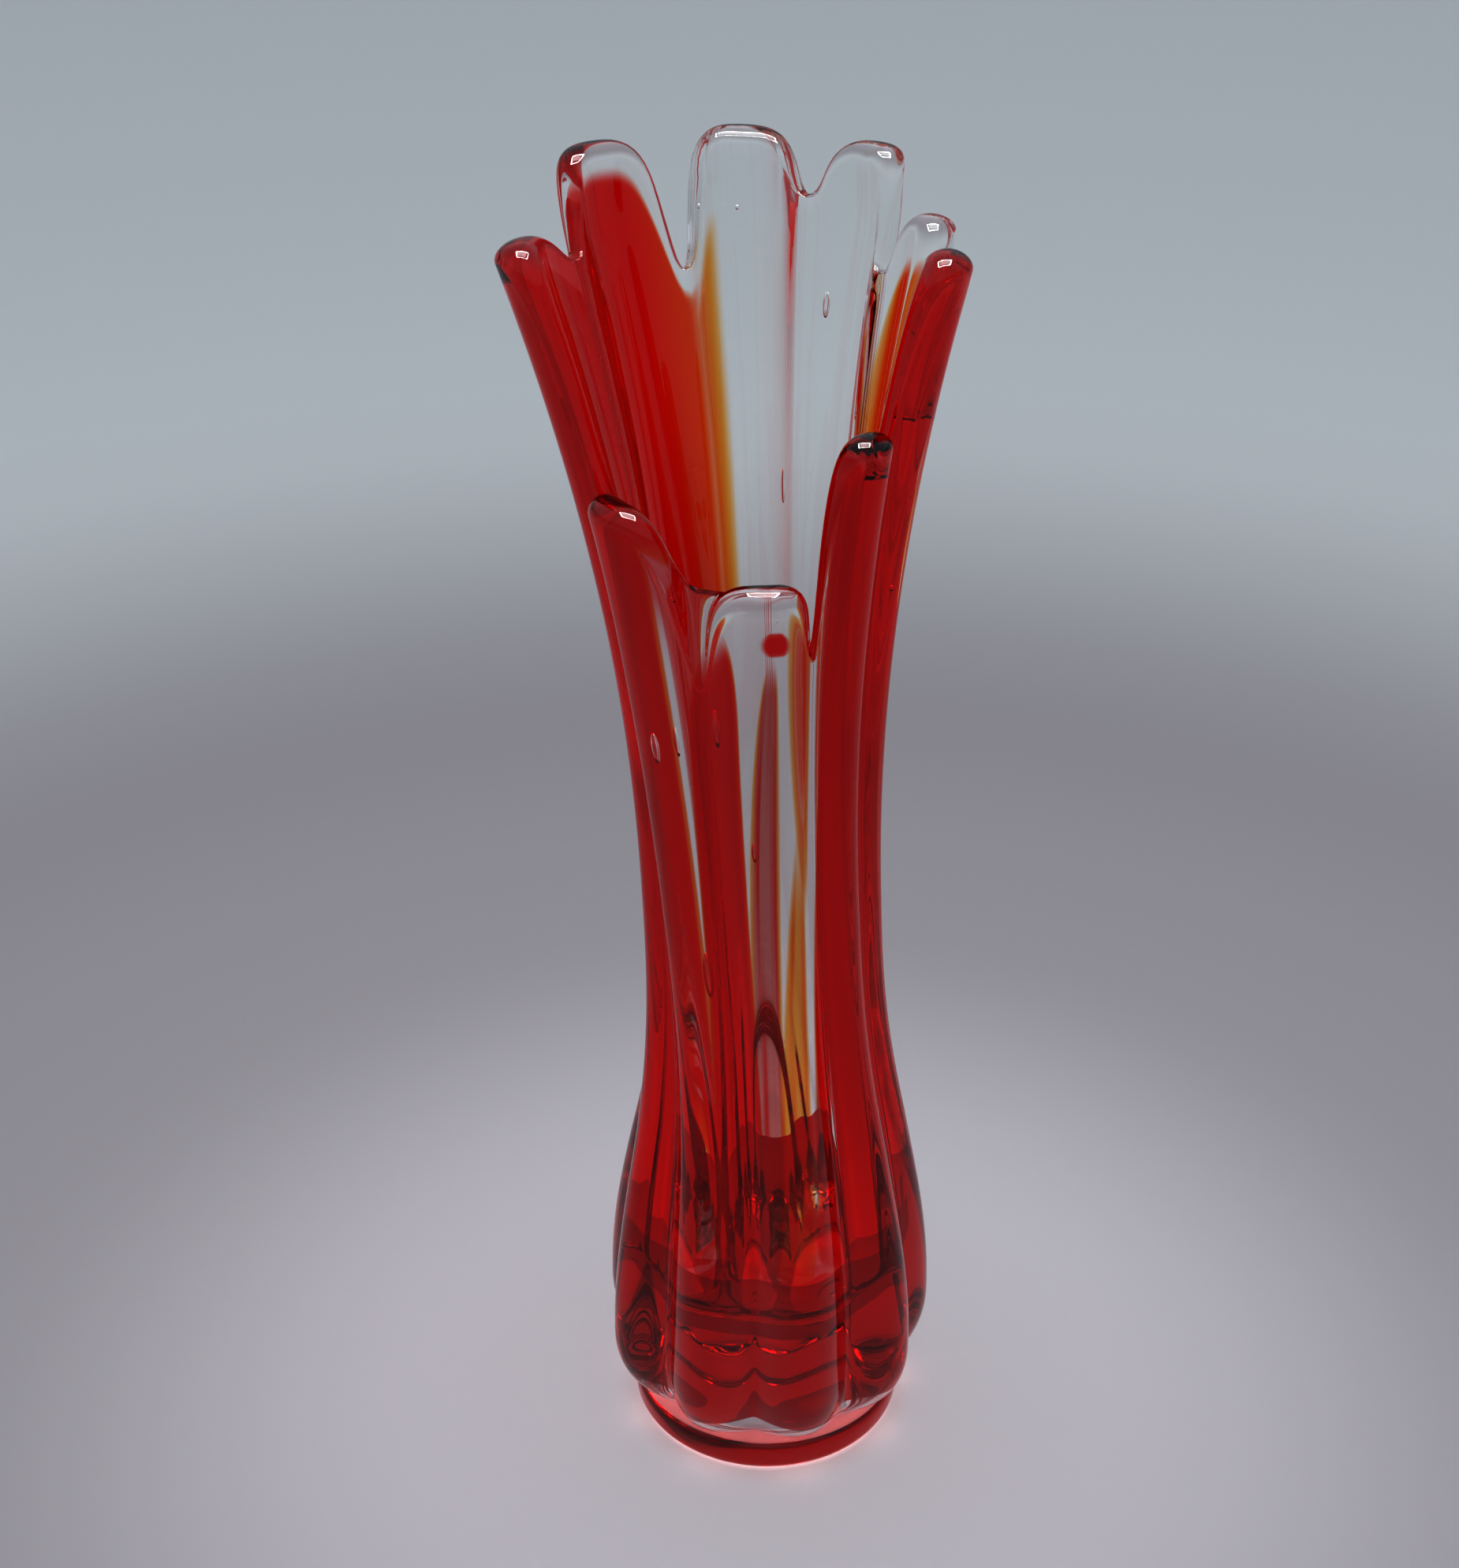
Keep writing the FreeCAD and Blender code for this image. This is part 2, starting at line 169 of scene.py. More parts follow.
class Wall:
    """Points of the blown wall. rib is whole on a crest and half on a groove. rise is 0 at the foot and 1 at
    the rim. depth is 0 at the outer skin and 1 at the inner one."""

    def __init__(self, shape):
        self.s = shape

    def bearing(self, bearings, rib):
        """Bearings eased from rib to rib by a curve through them."""
        low = np.floor(rib).astype(int)
        share = rib - low
        a, b, c, d = (bearings[i % RIBS] + 360.0 * (i // RIBS) for i in (low - 1, low, low + 1, low + 2))
        bow = 2 * a - 5 * b + 4 * c - d
        twist = 3 * b - a - 3 * c + d
        return 0.5 * (2 * b + (c - a) * share + bow * share**2 + twist * share**3)

    def swell(self, rib, rounding):
        """1 on a crest and 0 in a groove, with the groove's bottom rounded."""
        here = np.hypot(np.cos(np.pi * rib), rounding)
        return (here - rounding) / (math.hypot(1, rounding) - rounding)

    def rim_height(self, rib):
        finger = FINGER_DROP[np.round(rib).astype(int) % RIBS]
        notch = NOTCH_DROP[np.floor(rib).astype(int) % RIBS]
        drop = mix(notch, finger, self.finger_shape(rib))
        return self.s.tallest_finger - drop - self.s.rim_wall / 2

    def finger_shape(self, rib):
        arch = self.swell(rib, NOTCH_ROUNDING)
        return np.sin(0.5 * np.pi * mix(arch, np.sin(0.5 * np.pi * arch), 0.5))

    def height_at(self, rib, rise):
        foot = self.s.foot_thickness
        middle = self.s.tallest_finger - float(FINGER_DROP.sum() + NOTCH_DROP.sum()) / (2 * RIBS)
        return foot + (middle - foot) * rise + (self.rim_height(rib) - middle) * rise**RIM_BEND

    def flare(self, height):
        """0 up to the waist, 1 at mouth_height and hardly more above it."""
        s = self.s
        climb = np.maximum(0, (height - s.waist_height) / (s.mouth_height - s.waist_height))
        past = 1 + FLARE_OVERRUN * (1 - np.exp(FLARE_SETTLING * (1 - np.maximum(climb, 1))))
        return np.where(climb < 1, climb**2, past)

    def along_body(self, height, heel, waist, mouth):
        s = self.s
        fall = np.clip((height - s.heel_height) / (s.waist_height - s.heel_height), 0, 1)
        heel_share = (0.5 + 0.5 * np.cos(np.pi * fall)) ** HEEL_BEND
        return waist + (heel - waist) * heel_share + (mouth - waist) * self.flare(height)

    def heel_bulge(self, height):
        s = self.s
        rise = np.clip((height - s.foot_thickness) / (s.heel_height - s.foot_thickness), 0, 1)
        return np.sqrt(1 - (1 - rise) ** 2)

    def crest_radius(self, height):
        return self.along_body(height, self.s.heel_radius, self.s.waist_radius, self.s.mouth_radius)

    def groove_depth(self, height):
        return self.along_body(height, self.s.heel_groove, self.s.waist_groove, self.s.mouth_groove)

    def thickness(self, height):
        return self.along_body(height, self.s.heel_wall, self.s.waist_wall, self.s.rim_wall)

    def centre_x(self, height):
        drift = np.maximum(0, height - self.s.lean_start) / (self.s.mouth_height - self.s.lean_start)
        return -self.s.lean_by * drift**LEAN_BEND

    def outside(self, rib, rise, lift=0.0):
        s = self.s
        rib, rise = np.broadcast_arrays(np.asarray(rib, float), np.asarray(rise, float))
        height = self.height_at(rib, rise) + lift * rise**LIFT_BEND
        turn = ease((height - s.floor_height) / (s.turn_height - s.floor_height))
        bearings = [self.bearing(each, rib) for each in (RIB_BEARING_AT_FOOT, RIB_BEARING_AT_MOUTH)]
        angle = np.radians(mix(*bearings, turn))
        sunk = self.groove_depth(height) * (1 - self.swell(rib, GROOVE_ROUNDING))
        radius = mix(s.neck_radius, self.crest_radius(height) - sunk, self.heel_bulge(height))
        deep = radius * mix(1.0, s.mouth_depth, self.flare(height))
        x = self.centre_x(height) + radius * np.sin(angle)
        return np.stack([x, -deep * np.cos(angle), height], axis=-1)

    def inside(self, rib, rise):
        """The inner skin: square to the outer one, drawn towards a plain round."""
        rib, rise = np.broadcast_arrays(np.asarray(rib, float), np.asarray(rise, float))
        lift = NOTCH_LIFT[np.floor(rib).astype(int) % RIBS] * (1 - self.finger_shape(rib))
        skin = self.outside(rib, rise, lift)
        across = self.outside(rib + STEP, rise, lift) - self.outside(rib - STEP, rise, lift)
        upward = self.outside(rib, rise + STEP, lift) - self.outside(rib, rise - STEP, lift)
        inward = np.cross(upward, across)
        inward /= np.linalg.norm(inward, axis=-1, keepdims=True)
        height = skin[..., 2]
        crest = self.swell(rib, GROOVE_ROUNDING)
        lip = (self.s.lip_wall - self.s.rim_wall) * rise**LIP_CROWDING * crest
        thickness = (self.thickness(height) * mix(GROOVE_WALL, 1.0, crest) + lip)[..., None]
        square = skin + inward * thickness
        axis = np.stack([self.centre_x(height), 0 * height, height], axis=-1)
        outward = (skin - axis) * (1, 1, 0)
        outward /= np.linalg.norm(outward, axis=-1, keepdims=True)
        round_radius = self.crest_radius(height) - ROUND_AT_GROOVE * self.groove_depth(height)
        reach = round_radius[..., None] - thickness
        outward[..., 1] *= mix(1.0, self.s.mouth_depth, self.flare(height))
        rounded = axis + outward * reach
        rounded[..., 2] = square[..., 2]
        smoothing = mix(BODY_SMOOTHING, MOUTH_SMOOTHING, ease(self.flare(height) / SMOOTHING_FLARE))
        return square + (rounded - square) * smoothing[..., None]

    def at(self, rib, rise, depth):
        skin = self.outside(rib, rise)
        return skin + (self.inside(rib, rise) - skin) * depth

    def level(self, share, depth, floor, start_rise, rib):
        """A ring of a rounded floor: share runs from 0 at its middle to 1 where the wall starts."""
        start = self.at(rib, start_rise, depth)
        swing = 0.5 * math.pi * share
        spread = mix(FLAT_FLOOR, 1.0, math.sin(swing))
        ring = start * (spread, spread, 1)
        ring[..., 2] = mix(start[..., 2], floor, math.cos(swing))
        return ring

    def bead(self, rib, angle):
        """A ring of the rounded rim: angle runs from 0 on the outer skin to pi on the inner one."""
        def middle(where):
            return (self.outside(where, 1.0) + self.inside(where, 1.0)) / 2

        half = self.outside(rib, 1.0) - middle(rib)
        over = np.cross(half, middle(rib + STEP) - middle(rib - STEP))
        over /= np.linalg.norm(over, axis=-1, keepdims=True)
        height = (mix(NOTCH_BEAD, 1, self.finger_shape(rib)) * self.s.rim_wall / 2)[..., None]
        return middle(rib) + half * math.cos(angle) + over * height * math.sin(angle)


# ---- meshes ----------------------------------------------------------------------------------------------


def shape_of(context):
    return context.scene.vase_shape


def new_piece(name, points, faces, uvs=None):
    """A smooth-shaded piece from numpy points, faces and one UV for each point."""
    mesh = bpy.data.meshes.new(name)
    mesh.from_pydata(points.tolist(), [], faces)
    mesh.polygons.foreach_set("use_smooth", [True] * len(mesh.polygons))
    if uvs is not None:
        corners = np.empty(len(mesh.loops), dtype=np.int32)
        mesh.loops.foreach_get("vertex_index", corners)
        layer = mesh.uv_layers.new(name="Lay")
        layer.data.foreach_set("uv", uvs[corners].astype(np.float32).ravel())
    piece = bpy.data.objects.new(name, mesh)
    bpy.context.collection.objects.link(piece)
    return piece


def ring_faces(rows, around):
    """Quads between closed rings, each of the same number of points."""
    here = np.arange(around)
    after = (here + 1) % around
    faces = []
    for row in range(rows - 1):
        low, high = row * around, (row + 1) * around
        faces += np.stack([low + here, low + after, high + after, high + here], axis=1).tolist()
    return faces


def dress(piece, material, slot, *nodes):
    """Gives a piece its material and its place in the frame."""
    piece.data.materials.append(material)
    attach(piece, "root")
    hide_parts(*nodes)


# ---- materials -------------------------------------------------------------------------------------------


class Value:
    """A shader socket that Python's arithmetic extends with Math nodes."""

    def __init__(self, paint, socket):
        self.paint = paint
        self.socket = socket

    def math(self, operation, *inputs):
        node = self.paint.node("ShaderNodeMath", {"operation": operation}, dict(enumerate(inputs)))
        return Value(self.paint, node.outputs[0])

    def __add__(self, other):
        return self.math("ADD", self, other)

    __radd__ = __add__

    def __sub__(self, other):
        return self.math("SUBTRACT", self, other)

    def __rsub__(self, other):
        return self.math("SUBTRACT", other, self)

    def __mul__(self, other):
        return self.math("MULTIPLY", self, other)

    __rmul__ = __mul__

    def peak(self, other):
        return self.math("MAXIMUM", self, other)

    def smooth(self, low, high):
        """0 at low and 1 at high, easing between."""
        limits = {"Value": self, "From Min": low, "From Max": high}
        node = self.paint.node("ShaderNodeMapRange", {"interpolation_type": "SMOOTHSTEP"}, limits)
        return Value(self.paint, node.outputs["Result"])

    def band(self, low, high, soft):
        """1 between low and high, easing to 0 over soft outside them."""
        return self.smooth(low - soft, low) * (1 - self.smooth(high, high + soft))


class Paint:
    """A material and the nodes it is mixed from."""

    def __init__(self, name):
        self.material = bpy.data.materials.new(name)
        self.material.use_nodes = True
        self.tree = self.material.node_tree
        self.tree.nodes.clear()

    def node(self, kind, settings=None, inputs=None):
        node = self.tree.nodes.new(kind)
        for name, setting in (settings or {}).items():
            setattr(node, name, setting)
        for name, given in (inputs or {}).items():
            source = given.socket if isinstance(given, Value) else given
            if isinstance(source, bpy.types.NodeSocket):
                self.tree.links.new(source, node.inputs[name])
            else:
                node.inputs[name].default_value = source
        return node

    def lay(self):
        """The two numbers of the piece's own lay: across and along."""
        uv = self.node("ShaderNodeUVMap", {"uv_map": "Lay"})
        parts = self.node("ShaderNodeSeparateXYZ", inputs={0: uv.outputs[0]})
        return Value(self, parts.outputs[0]), Value(self, parts.outputs[1])

    def streaks(self, count):
        """Noise drawn out along the piece, with about count streaks across it."""
        uv = self.node("ShaderNodeUVMap", {"uv_map": "Lay"})
        return self.drawn_noise(uv.outputs[0], (count, 1.1, 1), 1.0, 1.2)

    def noise(self, scale, detail, stretch):
        """Noise through the glass, with about scale lumps to the metre before it is stretched."""
        return self.drawn_noise(self.node("ShaderNodeTexCoord").outputs["Object"], stretch, scale, detail)

    def drawn_noise(self, place, stretch, scale, detail):
        drawn = self.node("ShaderNodeMapping", inputs={"Vector": place, "Scale": stretch})
        inputs = {"Vector": drawn.outputs[0], "Scale": scale, "Detail": detail}
        return Value(self, self.node("ShaderNodeTexNoise", inputs=inputs).outputs[0])

    def colour(self, factor, first, second):
        """first where factor is 0 and second where it is 1."""
        inputs = {"Factor": factor, 6: first, 7: second}
        node = self.node("ShaderNodeMix", {"data_type": "RGBA"}, inputs)
        return node.outputs[2]

    def stain(self, tint):
        """Coloured glass that bends no light: it only takes its colour out of what passes."""
        node = self.node("ShaderNodeBsdfTransparent", inputs={"Color": (*tint, 1)})
        return node.outputs[0]

    def blend(self, factor, first, second):
        node = self.node("ShaderNodeMixShader", inputs={0: factor, 1: first, 2: second})
        return node.outputs[0]

    def show(self, shader):
        self.node("ShaderNodeOutputMaterial", inputs={"Surface": shader})
        return self.material


class VaseColours(bpy.types.PropertyGroup):
    """What each glass lets through at one skin"""

    clear: FloatVectorProperty(
        name="Clear", description="Colourless glass", subtype="COLOR", default=(0.985, 0.99, 0.99)
    )
    ruby: FloatVectorProperty(
        name="Ruby", description="Red glass in the wall", subtype="COLOR", default=(0.985, 0.055, 0.04)
    )
    deep: FloatVectorProperty(
        name="Deep ruby", description="Darker red streaks", subtype="COLOR", default=(0.88, 0.035, 0.04)
    )
    orange: FloatVectorProperty(
        name="Orange", description="Where red thins out", subtype="COLOR", default=(0.995, 0.26, 0.04)
    )
    amber: FloatVectorProperty(
        name="Amber", description="Amber glass", subtype="COLOR", default=(0.99, 0.68, 0.30)
    )
    base: FloatVectorProperty(
        name="Base", description="Red glass pooled in the base", subtype="COLOR", default=(0.78, 0.03, 0.04)
    )
    # Painted red glow: the foot's pink, darker colour stands in for the red base's light carried into the
    # clear foot.
    foot: FloatVectorProperty(
        name="Foot", description="Painted red glow in the foot", subtype="COLOR", default=(0.74, 0.44, 0.45)
    )
    pink: FloatVectorProperty(
        name="Pink", description="Pink glass", subtype="COLOR", default=(0.85, 0.50, 0.48)
    )


# Clear glass: the ribs that the red fingers lie between and how softly they end, the rises over which red
# fills their tips, and the rise where the foot's painted red glow ends, a pink tint that stands in for the
# red base's light carried down into the clear foot.
RED_FINGERS = [(0.72, 2.40, 0.08), (6.50, 8.08, 0.10)]
RED_TIPS = (0.80, 0.90)
FOOT_GLOW_RISE = 0.045
RIPPLE_DEPTH = 0.001

# Stained glass: how far its edges wander, how its streaks are cut from the noise, the share of the fade at
# which the edge's colour starts to turn, and how softly a clear gap is cut and how far along the glass it
# runs.
EDGE_WANDER = 0.35
STREAK_CUT = (0.42, 0.74)
TURN_START = 0.6
GAP_EDGE = 0.008
GAP_RUN = (0.12, 0.80, 0.15)


def clear_glass(colours):
    """Fire-polished clear glass, stained red through the tips of the red fingers, with a painted red glow in
    the foot that stands in for the red base's light carried through it.
    """
    paint = Paint("clear_glass")
    across, along = paint.lay()
    right, left = ((across * RIBS).band(*finger) for finger in RED_FINGERS)
    red = right.peak(left) * along.smooth(*RED_TIPS)
    colour = paint.colour(red, (*colours.clear, 1), (*colours.deep, 1))
    # Painted red glow: at the foot the glass takes the pink, darker foot colour, standing in for the red
    # base's light carried into it.
    colour = paint.colour(along.smooth(0.0, FOOT_GLOW_RISE), (*colours.foot, 1), colour)
    ripple = paint.noise(38.0, 2.0, (1, 1, 0.25))
    bump = paint.node("ShaderNodeBump", inputs={"Strength": 0.05, "Distance": RIPPLE_DEPTH, "Height": ripple})
    glass = paint.node(
        "ShaderNodeBsdfPrincipled",
        inputs={
            "Base Color": colour,
            "Roughness": 0.0,
            "IOR": 1.5,
            "Transmission Weight": 1.0,
            "Normal": bump.outputs[0],
        },
    )
    return paint.show(glass.outputs[0])


# How a piece of coloured glass is coloured. core, edge and streak are names of VaseColours. The glass fades
# to nothing over fade at its two sides and over ends at its foot and top, and turns to its edge's colour
# over turn beside its sides, all as shares of its width or length. streaks is about how many it has, and
# gap is a narrow band that stays clear.
Finish = namedtuple("Finish", "core edge streak fade turn ends streaks gap", defaults=(4.0, None))
FINISHES = {
    "ruby_pool": Finish("base", "base", "base", (0.02, 0.02), (0.10, 0.10), (0.02, 0.02), 9.0),
    "ruby_field_left": Finish("ruby", "orange", "deep", (0.01, 0.03), (0.01, 0.08), (0.02, 0.015), 4.5),
    "ruby_field_back": Finish("ruby", "orange", "deep", (0.12, 0.02), (0.45, 0.01), (0.02, 0.015), 4.5),
    "ruby_field_right": Finish(
        "ruby", "orange", "deep", (0.02, 0.03), (0.04, 0.06), (0.02, 0.015), 4.5, (0.13, 0.16)
    ),
    "ruby_stripe_front": Finish("ruby", "orange", "deep", (0.05, 0.05), (0.06, 0.10), (0.02, 0.08)),
    "pink_stripe_front": Finish("pink", "amber", "deep", (0.08, 0.08), (0.15, 0.15), (0.02, 0.08)),
    "amber_stripe_front": Finish("amber", "amber", "orange", (0.10, 0.10), (0.10, 0.10), (0.02, 0.30)),
    "amber_band_back": Finish("orange", "amber", "orange", (0.45, 0.30), (0.90, 0.01), (0.02, 0.03)),
    "amber_flame_right": Finish("orange", "amber", "ruby", (0.05, 0.15), (0.10, 0.30), (0.10, 0.03)),
    "red_bead": Finish("ruby", "ruby", "ruby", (0.25, 0.25), (0.10, 0.10), (0.15, 0.15), 9.0),
}


def stained_glass(name, colours):
    """The skin of a piece of coloured glass sealed in the clear glass."""
    core, edge, streak, fade, turn, ends, streaks, gap = FINISHES[name]
    paint = Paint(name)
    across, along = paint.lay()
    drift = (paint.noise(26.0, 3.0, (1, 1, 0.12)) - 0.5) * EDGE_WANDER
    left = across + drift * (fade[0] * 2)
    right = 1 - across - drift * (fade[1] * 2)
    shown = left.smooth(0.0, fade[0]) * right.smooth(0.0, fade[1])
    shown = shown * along.smooth(0.0, ends[0]) * (1 - along).smooth(0.0, ends[1])
    if gap:
        shown = shown * (1 - across.band(*gap, GAP_EDGE) * along.band(*GAP_RUN))
    start = [width * TURN_START for width in fade]
    inner = left.smooth(start[0], start[0] + turn[0]) * right.smooth(start[1], start[1] + turn[1])
    core, edge, streak = (paint.stain(getattr(colours, tint)) for tint in (core, edge, streak))
    body = paint.blend(paint.streaks(streaks).smooth(*STREAK_CUT), core, streak)
    return paint.show(paint.blend(shown, paint.stain((1, 1, 1)), paint.blend(inner, edge, body)))


# ---- operators -------------------------------------------------------------------------------------------


# Points around the clear glass, and rows up its outside, over its rim, down its inside and over its floor.
AROUND = 360
OUTER_ROWS = 121
RIM_ROWS = 15
INNER_ROWS = 91
FLOOR_ROWS = 15
HEEL_CROWDING = 1.6

# The rises at which the rounded floors of the inside and of the red base meet the wall.
FLOOR_RISE = 0.16
POOL_FLOOR_RISE = 0.045

# Radius and height of the ring that the pontil left under the foot, from the middle out.
PONTIL_RING = [
    (0.0010, 0.0),
    (0.0040, 0.0),
    (0.0063, 0.0),
    (0.0068, 0.0004),
    (0.0075, 0.0007),
    (0.0082, 0.0004),
    (0.0087, 0.0),
]
# Radii of the rings further out under the foot, and how far the first rings beside its rounded edge and its
# neck stand off from them.
UNDERSIDE_RADII = (0.014, 0.022)
EDGE_HOLD = 0.0004
NECK_HOLD = 0.0003

# Air bubbles drawn out along the ribs: rib, rise, depth in the wall, half length and half width in metres.
BUBBLES = [
    (8.05, 0.735, 0.5, 0.0040, 0.0010),
    (8.26, 0.500, 0.5, 0.0062, 0.0011),
    (8.80, 0.660, 0.4, 0.0026, 0.0006),
    (8.58, 0.840, 0.5, 0.0050, 0.0011),
    (4.62, 0.800, 0.5, 0.0042, 0.0006),
    (4.35, 0.920, 0.5, 0.0030, 0.0009),
    (5.05, 0.960, 0.5, 0.0006, 0.0005),
    (4.90, 0.700, 0.5, 0.0005, 0.0004),
    (2.10, 0.780, 0.5, 0.0008, 0.0006),
    (7.20, 0.760, 0.5, 0.0009, 0.0007),
]
BUBBLE_AROUND = 12
BUBBLE_ROWS = 9
COLOURLESS = (0.0, 0.1)


def bubble(wall, rib, rise, depth, half_length, half_width, first):
    """Points, inward-facing faces and lay of one bubble, whose points are numbered from first."""
    middle = wall.at(np.array([rib]), np.array([rise]), depth)[0]
    along = wall.at(np.array([rib]), np.array([rise + STEP]), depth)[0] - middle
    along /= np.linalg.norm(along)
    side = np.cross(along, (0, 1, 0))
    side /= np.linalg.norm(side)
    out = np.cross(side, along)
    turns = np.linspace(0, 2 * math.pi, BUBBLE_AROUND + 1)[:-1]
    around = np.cos(turns)[:, None] * side + np.sin(turns)[:, None] * out
    rows = []
    for tilt in np.linspace(0, math.pi, BUBBLE_ROWS + 2)[1:-1]:
        rows.append(middle + along * half_length * math.cos(tilt) + around * half_width * math.sin(tilt))
    points = np.concatenate(rows + [[middle + along * half_length], [middle - along * half_length]])
    count = BUBBLE_ROWS * BUBBLE_AROUND
    last = count - BUBBLE_AROUND
    faces = [quad[::-1] for quad in ring_faces(BUBBLE_ROWS, BUBBLE_AROUND)]
    for i in range(BUBBLE_AROUND):
        j = (i + 1) % BUBBLE_AROUND
        faces.append([i, j, count])
        faces.append([last + j, last + i, count + 1])
    return points, [[first + k for k in corner] for corner in faces], np.full((len(points), 2), COLOURLESS)


class VASE_OT_clear_glass(bpy.types.Operator):
    """Blow the clear glass: foot, outer skin, rounded rim and inside, fused into one body"""

    bl_idname = "vase.clear_glass"
    bl_label = "Clear glass"

    def foot_rows(self, shape, angles):
        """Rings under, round and over the disc foot."""
        radius, thick, edge = shape.foot_diameter / 2, shape.foot_thickness, shape.foot_rounding
        flat = radius - edge - EDGE_HOLD
        profile = PONTIL_RING + [(r, 0.0) for r in (*UNDERSIDE_RADII, flat)]
        for middle, turns in ((edge, (-90, 0)), (thick - edge, (0, 90))):
            for turn in np.radians(np.linspace(*turns, 7)):
                profile.append((radius - edge + edge * math.cos(turn), middle + edge * math.sin(turn)))
        profile += [(r, thick) for r in np.linspace(flat, shape.neck_radius + NECK_HOLD, 5)]
        sides, fronts = np.sin(angles), -np.cos(angles)
        return [np.stack([r * sides, r * fronts, 0 * angles + z], axis=-1) for r, z in profile]

    def body_rows(self, shape, wall, rib):
        """Rings from the foot's middle round to the middle of the floor inside, and the rise of each."""
        angles = np.radians(wall.bearing(RIB_BEARING_AT_FOOT, rib))
        rows = [(ring, 0.0) for ring in self.foot_rows(shape, angles)]
        rows += [(wall.outside(rib, rise), rise) for rise in np.linspace(0, 1, OUTER_ROWS) ** HEEL_CROWDING]
        rows += [(wall.bead(rib, turn), 1.0) for turn in np.linspace(0, math.pi, RIM_ROWS)[1:-1]]
        rows += [(wall.inside(rib, rise), rise) for rise in np.linspace(1, FLOOR_RISE, INNER_ROWS)]
        for share in np.linspace(1, 0, FLOOR_ROWS)[1:]:
            rows.append((wall.level(share, 1.0, shape.floor_height, FLOOR_RISE, rib), FLOOR_RISE * share))
        return zip(*rows)

    def execute(self, context):
        shape = shape_of(context)
        wall = Wall(shape)
        rib = np.arange(AROUND) * RIBS / AROUND
        rings, rises = self.body_rows(shape, wall, rib)
        points = np.concatenate([*rings, [[0, 0, 0]], [[0, 0, shape.floor_height]]])
        lay = [np.stack([rib / RIBS, 0 * rib + rise], axis=-1) for rise in rises]
        lay = np.concatenate([*lay, np.zeros((2, 2))])
        faces = ring_faces(len(rings), AROUND)
        count = len(rings) * AROUND
        last = count - AROUND
        for i in range(AROUND):
            j = (i + 1) % AROUND
            faces.append([count, j, i])
            faces.append([count + 1, last + i, last + j])
        for place in BUBBLES:
            more, skins, spot = bubble(wall, *place, len(points))
            points, lay = np.concatenate([points, more]), np.concatenate([lay, spot])
            faces += skins
        piece = new_piece("clear_glass", points, faces, lay)
        piece.visible_shadow = False
        glass = clear_glass(context.scene.vase_colours)
        dress(piece, glass, "clear_glass", "clear_casing", "clear_gather", "foot_disc")
        return {"FINISHED"}


# Coloured glass: the ribs it runs between at its foot and its top, the rises and the depths it lies
# between, and how much of its length its foot and its top are drawn out over.
FIELDS = {
    "ruby_field_left": ((6.48, 7.92), (6.48, 8.08), (0.18, 0.995), (0.36, 0.66), 0.05, 0.03),
    "ruby_field_back": ((5.38, 6.52), (5.38, 6.42), (0.18, 0.995), (0.36, 0.66), 0.05, 0.03),
    "ruby_field_right": ((0.12, 2.46), (0.86, 2.40), (0.18, 0.995), (0.36, 0.66), 0.05, 0.03),
    "ruby_stripe_front": ((-0.88, -0.36), (-0.56, -0.22), (0.18, 0.975), (0.36, 0.66), 0.06, 0.20),
    "pink_stripe_front": ((-0.52, -0.14), (-0.10, 0.13), (0.18, 0.92), (0.36, 0.62), 0.20, 0.45),
    "amber_stripe_front": ((-0.30, 0.14), (0.20, 0.40), (0.18, 0.72), (0.36, 0.62), 0.10, 0.60),
    "amber_band_back": ((5.18, 5.48), (5.20, 5.48), (0.18, 0.975), (0.36, 0.66), 0.10, 0.03),
    "amber_flame_right": ((2.74, 3.40), (2.78, 3.66), (0.40, 0.985), (0.36, 0.66), 0.45, 0.35),
    "red_bead": ((-0.10, 0.20), (-0.08, 0.18), (0.918, 0.955), (0.36, 0.66), 0.50, 0.50),
}

# The share of its width that a field keeps at its very ends, and the columns and rows that it is laid in.
END_WIDTH = 0.04
FIELD_GRID = (28, 90)
STRIPE_GRID = (14, 70)
BEAD_GRID = (14, 14)


def lay_field(wall, name, columns, rows):
    """A closed skin round one field of coloured glass, narrowed at both ends."""
    at_foot, at_top, rises, depths, foot_point, top_point = FIELDS[name]
    share = (0.5 - 0.5 * np.cos(np.pi * np.linspace(0, 1, rows + 1)))[:, None]
    foot = 1 - np.clip(share / foot_point, 0, 1)
    top = 1 - np.clip((1 - share) / top_point, 0, 1)
    width = mix(END_WIDTH, 1.0, np.sqrt(1 - foot**2) * np.sqrt(1 - top**2))
    left, right = mix(at_foot[0], at_top[0], share), mix(at_foot[1], at_top[1], share)
    across = np.linspace(0, 1, columns + 1)[None, :]
    rib = (left + right) / 2 + (right - left) / 2 * width * (2 * across - 1)
    rise = mix(rises[0], rises[1], share) + 0 * across
    outer, inner = wall.at(rib, rise, depths[0]), wall.at(rib, rise, depths[1])
    loop = np.concatenate([outer, inner[:, ::-1]], axis=1)
    around = loop.shape[1]
    faces = ring_faces(rows + 1, around)
    for row in (0, rows):
        for i in range(columns):
            quad = [row * around + k for k in (i, i + 1, around - 2 - i, around - 1 - i)]
            faces.append(quad[::-1] if row == 0 else quad)
    spread = np.concatenate([across, across[:, ::-1]], axis=1) + 0 * share
    lay = np.stack([spread, share + 0 * spread], axis=-1)
    return new_piece(name, loop.reshape(-1, 3), faces, lay.reshape(-1, 2))


class VASE_OT_ruby_fields(bpy.types.Operator):
    """Lay the red fields in the wall, each thinning to orange at its edges"""

    bl_idname = "vase.ruby_fields"
    bl_label = "Ruby fields"

    def execute(self, context):
        wall = Wall(shape_of(context))
        for name in ("ruby_field_left", "ruby_field_back", "ruby_field_right"):
            field = lay_field(wall, name, *FIELD_GRID)
            field.visible_shadow = False
            dress(field, stained_glass(name, context.scene.vase_colours), "ruby_glass", name)
        return {"FINISHED"}


